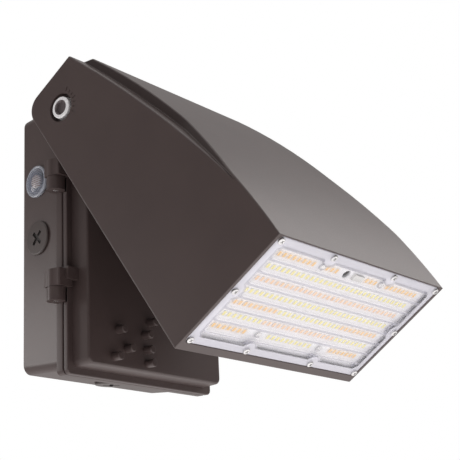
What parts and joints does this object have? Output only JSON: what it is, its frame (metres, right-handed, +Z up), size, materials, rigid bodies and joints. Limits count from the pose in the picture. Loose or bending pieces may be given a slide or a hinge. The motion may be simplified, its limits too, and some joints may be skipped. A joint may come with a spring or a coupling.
{
  "type": "wall pack light",
  "caption": "Wall-mounted outdoor area light: a cast wiring box with a hinged front cover that carries a lamp head, which tilts from straight down to level on two side pivots.",
  "frame": {"origin": "centre of the flat back face of the wiring box, which lies on the wall", "axes": "+Z up the wall, +Y into the wall, -Y out of the wall towards the lamp head, +X to the right for someone facing the light"},
  "size_m": [0.2104, 0.2553, 0.2311],
  "materials": {
    "bronze_casting": "fine textured powder coat, dark bronze",
    "bronze_plug": "smooth powder coat, dark bronze",
    "seal_rubber": "black silicone",
    "lens_seal": "translucent white silicone",
    "photocell_window": "clear polycarbonate",
    "black_nylon": "moulded nylon",
    "terminal_nylon": "moulded natural nylon",
    "bright_steel": "stainless steel",
    "dark_screw": "dark coated steel",
    "earth_green": "green passivated steel",
    "driver_case": "moulded white plastic",
    "lens_clear": "clear moulded polycarbonate",
    "board_white": "white solder mask on an aluminium board",
    "led_neutral": "yellow phosphor",
    "led_warm": "orange phosphor",
    "connector_white": "moulded nylon"
  },
  "bodies": {
    "box": {"back_box": "bronze_casting", "door_gasket": "seal_rubber", "conduit_plug_left": "bronze_plug", "conduit_plug_right": "bronze_plug", "conduit_plug_bottom": "bronze_plug", "photocell_lens": "photocell_window", "photocell_body": "black_nylon", "photocell_nut": "black_nylon", "hinge_pins": "bright_steel", "ground_screw": "earth_green", "terminal_block": "terminal_nylon", "terminal_screws": "bright_steel"},
    "door": {"front_door": "bronze_casting", "captive_screws": "dark_screw", "screw_retainers": "terminal_nylon", "led_driver": "driver_case", "driver_screws": "bright_steel", "surge_protector": "black_nylon", "door_gland": "black_nylon", "door_gland_nut": "black_nylon", "pivot_bolts": "bright_steel", "pivot_washers": "bright_steel", "friction_washers": "seal_rubber"},
    "head": {"head_housing": "bronze_casting", "lens": "lens_clear", "lens_gasket": "lens_seal", "lens_screws": "bright_steel", "led_board": "board_white", "leds_neutral": "led_neutral", "leds_warm": "led_warm", "board_screws": "bright_steel", "board_connector": "connector_white", "head_gland": "black_nylon", "head_gland_nut": "black_nylon", "vent_plug": "black_nylon"}
  },
  "joints": [
    {"name": "door_hinge", "type": "hinge", "parent": "box", "child": "door", "pos_m": [-0.0865, -0.0455, 0], "axis": [0, 0, -1], "range_deg": [0, 70]},
    {"name": "head_tilt", "type": "hinge", "parent": "door", "child": "head", "pos_m": [0, -0.069, 0.083], "axis": [-1, 0, 0], "range_deg": [-34, 56]}
  ]
}
